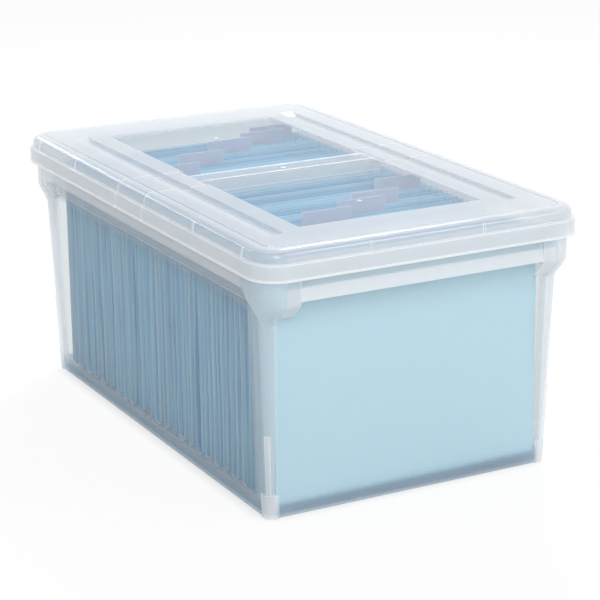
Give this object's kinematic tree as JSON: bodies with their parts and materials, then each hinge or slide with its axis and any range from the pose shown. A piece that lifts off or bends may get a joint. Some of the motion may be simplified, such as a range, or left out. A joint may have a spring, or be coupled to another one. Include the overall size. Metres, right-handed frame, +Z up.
{
  "type": "portable file box",
  "caption": "Translucent plastic file box with hand holds, a lid of two hinged wings with windows, and hanging folders on moulded rails.",
  "frame": {"origin": "middle of the tub's flat underside", "axes": "+Z up, +Y along the length towards the rear end, +X to the right side"},
  "size_m": [0.365, 0.606, 0.278],
  "materials": {
    "frosted_plastic": "frosted, translucent polypropylene",
    "blue_card": "uncoated coloured card",
    "hanger_steel": "plated strip",
    "tab_plastic": "clear tinted",
    "tab_paper": "blank paper"
  },
  "bodies": {
    "tub": {"tub": "frosted_plastic"},
    "bridge": {"lid_bridge": "frosted_plastic", "hinge_front": "frosted_plastic", "hinge_rear": "frosted_plastic"},
    "front_wing": {"wing_front": "frosted_plastic"},
    "rear_wing": {"wing_rear": "frosted_plastic"},
    "files": {"folder_01": "blue_card", "folder_02": "blue_card", "folder_03": "blue_card", "folder_04": "blue_card", "folder_05": "blue_card", "folder_06": "blue_card", "folder_07": "blue_card", "folder_08": "blue_card", "folder_09": "blue_card", "folder_10": "blue_card", "folder_11": "blue_card", "folder_12": "blue_card", "folder_13": "blue_card", "folder_14": "blue_card", "folder_15": "blue_card", "folder_16": "blue_card", "folder_17": "blue_card", "folder_18": "blue_card", "folder_19": "blue_card", "folder_20": "blue_card", "folder_21": "blue_card", "folder_22": "blue_card", "folder_23": "blue_card", "folder_24": "blue_card", "folder_25": "blue_card", "hangers_01": "hanger_steel", "hangers_02": "hanger_steel", "hangers_03": "hanger_steel", "hangers_04": "hanger_steel", "hangers_05": "hanger_steel", "hangers_06": "hanger_steel", "hangers_07": "hanger_steel", "hangers_08": "hanger_steel", "hangers_09": "hanger_steel", "hangers_10": "hanger_steel", "hangers_11": "hanger_steel", "hangers_12": "hanger_steel", "hangers_13": "hanger_steel", "hangers_14": "hanger_steel", "hangers_15": "hanger_steel", "hangers_16": "hanger_steel", "hangers_17": "hanger_steel", "hangers_18": "hanger_steel", "hangers_19": "hanger_steel", "hangers_20": "hanger_steel", "hangers_21": "hanger_steel", "hangers_22": "hanger_steel", "hangers_23": "hanger_steel", "hangers_24": "hanger_steel", "hangers_25": "hanger_steel", "tabs": "tab_plastic", "tab_inserts": "tab_paper"}
  },
  "joints": [
    {"name": "lid_lift", "type": "slide", "parent": "tub", "child": "bridge", "axis": [0, 0, 1], "range_m": [0, 0.06]},
    {"name": "front_wing_hinge", "type": "hinge", "parent": "bridge", "child": "front_wing", "pos_m": [0, -0.015, 0.2756], "axis": [-1, 0, 0], "range_deg": [0, 90], "deforming": ["hinge_front"]},
    {"name": "rear_wing_hinge", "type": "hinge", "parent": "bridge", "child": "rear_wing", "pos_m": [0, 0.015, 0.2756], "axis": [1, 0, 0], "range_deg": [0, 90], "deforming": ["hinge_rear"]},
    {"name": "files_slide", "type": "slide", "parent": "tub", "child": "files", "axis": [0, 1, 0], "range_m": [0, 0.008]}
  ]
}
